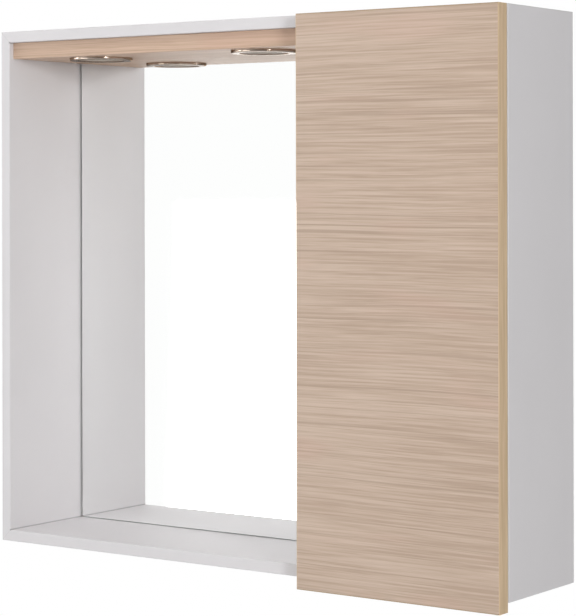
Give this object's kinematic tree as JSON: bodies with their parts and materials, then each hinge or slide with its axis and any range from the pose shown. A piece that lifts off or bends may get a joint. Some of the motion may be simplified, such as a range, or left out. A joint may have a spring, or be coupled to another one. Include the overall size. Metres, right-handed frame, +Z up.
{
  "type": "bathroom mirror cabinet",
  "caption": "Wall-hung bathroom mirror cabinet with an open mirror niche under a wood-look light pelmet with recessed spotlights and a hinged wood-look door.",
  "frame": {"origin": "midway between the entry holes of the two hanger plates, on the wall plane", "axes": "+X to the right as seen from the front, +Y towards the wall, +Z up"},
  "size_m": [0.8, 0.182, 0.711],
  "materials": {
    "case_grey": "fine satin pale grey decor on chipboard",
    "back_white": "white painted hardboard",
    "dowel_beech": "fluted beech",
    "zinc_steel": "bright zinc plated",
    "mirror_silver": "silvered float glass with ground edges",
    "tape_black": "foam mounting tape",
    "oak_decor": "pale oak decor, fine straight grain, satin",
    "oak_band": "pale oak edge band, satin",
    "lamp_aluminium": "pressed aluminium",
    "led_white": "white board with pale yellow chips",
    "lens_frosted": "frosted lens, unlit",
    "ring_chrome": "polished warm chrome",
    "lead_white": "smooth white sheath",
    "driver_white": "fine-grained white moulding",
    "terminal_black": "black moulding",
    "grommet_rubber": "black rubber",
    "hinge_nickel": "nickel plated",
    "bumper_clear": "clear soft bumper",
    "shelf_glass": "clear float glass with ground edges"
  },
  "bodies": {
    "cabinet": {"left_side_panel": "case_grey", "right_side_panel": "case_grey", "top_panel": "case_grey", "bottom_panel": "case_grey", "divider_panel": "case_grey", "back_panel": "back_white", "divider_dowels": "dowel_beech", "back_panel_nails": "zinc_steel", "mirror_glass": "mirror_silver", "mirror_tape": "tape_black", "pelmet_board": "oak_decor", "pelmet_front_band": "oak_decor", "pelmet_dowels": "dowel_beech", "left_spot_housing": "lamp_aluminium", "right_spot_housing": "lamp_aluminium", "spot_housing_screws": "zinc_steel", "left_spot_led_board": "led_white", "right_spot_led_board": "led_white", "left_spot_lens": "lens_frosted", "right_spot_lens": "lens_frosted", "left_spot_ring": "ring_chrome", "right_spot_ring": "ring_chrome", "left_spot_lead": "lead_white", "right_spot_lead": "lead_white", "driver_base": "driver_white", "driver_cover": "driver_white", "driver_terminals": "terminal_black", "driver_screws": "zinc_steel", "cable_grommet": "grommet_rubber", "upper_hinge_plate": "hinge_nickel", "lower_hinge_plate": "hinge_nickel", "hinge_plate_screws": "zinc_steel", "upper_hinge_arm": "hinge_nickel", "lower_hinge_arm": "hinge_nickel", "hinge_adjusting_screws": "zinc_steel", "hinge_arm_pins": "zinc_steel", "upper_shelf": "shelf_glass", "lower_shelf": "shelf_glass", "shelf_pins": "zinc_steel", "left_hanger_plate": "zinc_steel", "right_hanger_plate": "zinc_steel", "hanger_screws": "zinc_steel"},
    "inner_links": {"upper_inner_link": "hinge_nickel", "lower_inner_link": "hinge_nickel"},
    "door": {"door_panel": "oak_decor", "door_side_bands": "oak_band", "door_end_bands": "oak_band", "door_bumpers": "bumper_clear", "upper_hinge_cup": "hinge_nickel", "lower_hinge_cup": "hinge_nickel", "hinge_cup_pins": "zinc_steel", "hinge_cup_screws": "zinc_steel"},
    "outer_links": {"upper_outer_link": "hinge_nickel", "lower_outer_link": "hinge_nickel", "outer_link_pins": "zinc_steel"}
  },
  "joints": [
    {"name": "link_swing", "type": "hinge", "parent": "cabinet", "child": "inner_links", "pos_m": [0.3664, -0.1472, -0.31], "axis": [0, 0, 1], "range_deg": [-31.01, 0]},
    {"name": "door_swing", "type": "hinge", "parent": "inner_links", "child": "door", "pos_m": [0.3904, -0.1652, -0.31], "axis": [0, 0, 1], "range_deg": [0, 131]},
    {"name": "outer_link_swing", "type": "hinge", "parent": "cabinet", "child": "outer_links", "pos_m": [0.3648, -0.1679, -0.31], "axis": [0, 0, 1], "range_deg": [-41.51, 0]}
  ],
  "couplings": [
    {"joint": "link_swing", "follows": "door_swing", "ratio": -0.23664},
    {"joint": "outer_link_swing", "follows": "door_swing", "ratio": -0.31679}
  ]
}
